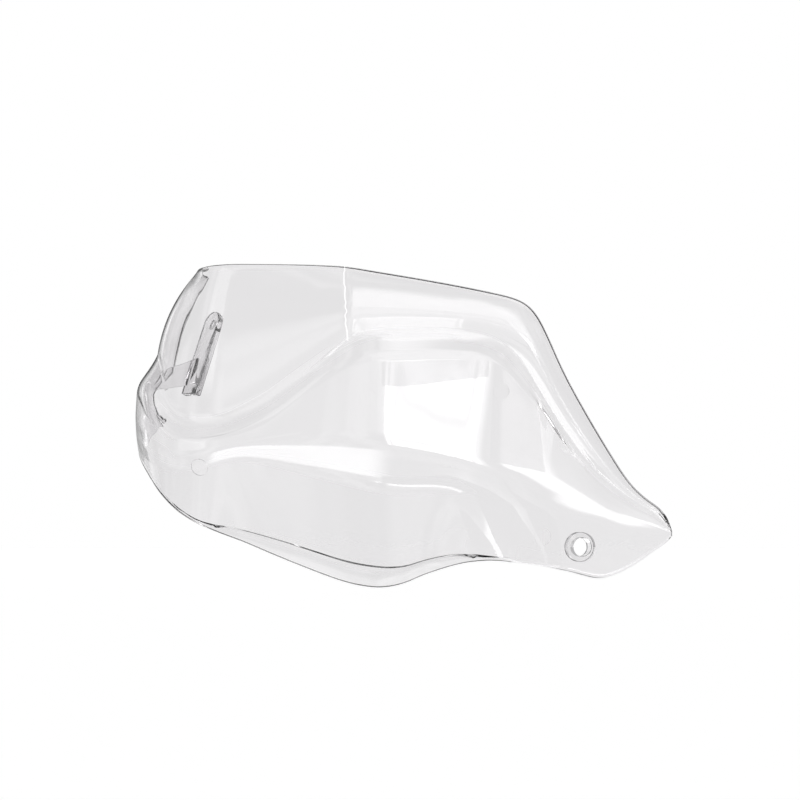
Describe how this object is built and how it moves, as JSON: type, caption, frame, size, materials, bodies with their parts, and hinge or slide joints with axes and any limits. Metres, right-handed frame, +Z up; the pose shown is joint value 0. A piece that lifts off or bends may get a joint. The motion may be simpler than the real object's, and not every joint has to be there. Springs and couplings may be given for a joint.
{
  "type": "motorcycle hand guard shell",
  "caption": "Clear moulded hand guard shell for a motorcycle handlebar, with a set-back top flange, a bar-end bolt hole and an inboard fixing tab.",
  "frame": {"origin": "centre of the bar-end hole at the outer face of the wall", "axes": "+X outboard to the tip, +Y back to the rider, +Z up"},
  "size_m": [0.2911, 0.1066, 0.175],
  "materials": {
    "clear_plastic": "clear polycarbonate, moulded, polished"
  },
  "bodies": {
    "root": {"shell": "clear_plastic"}
  },
  "joints": []
}
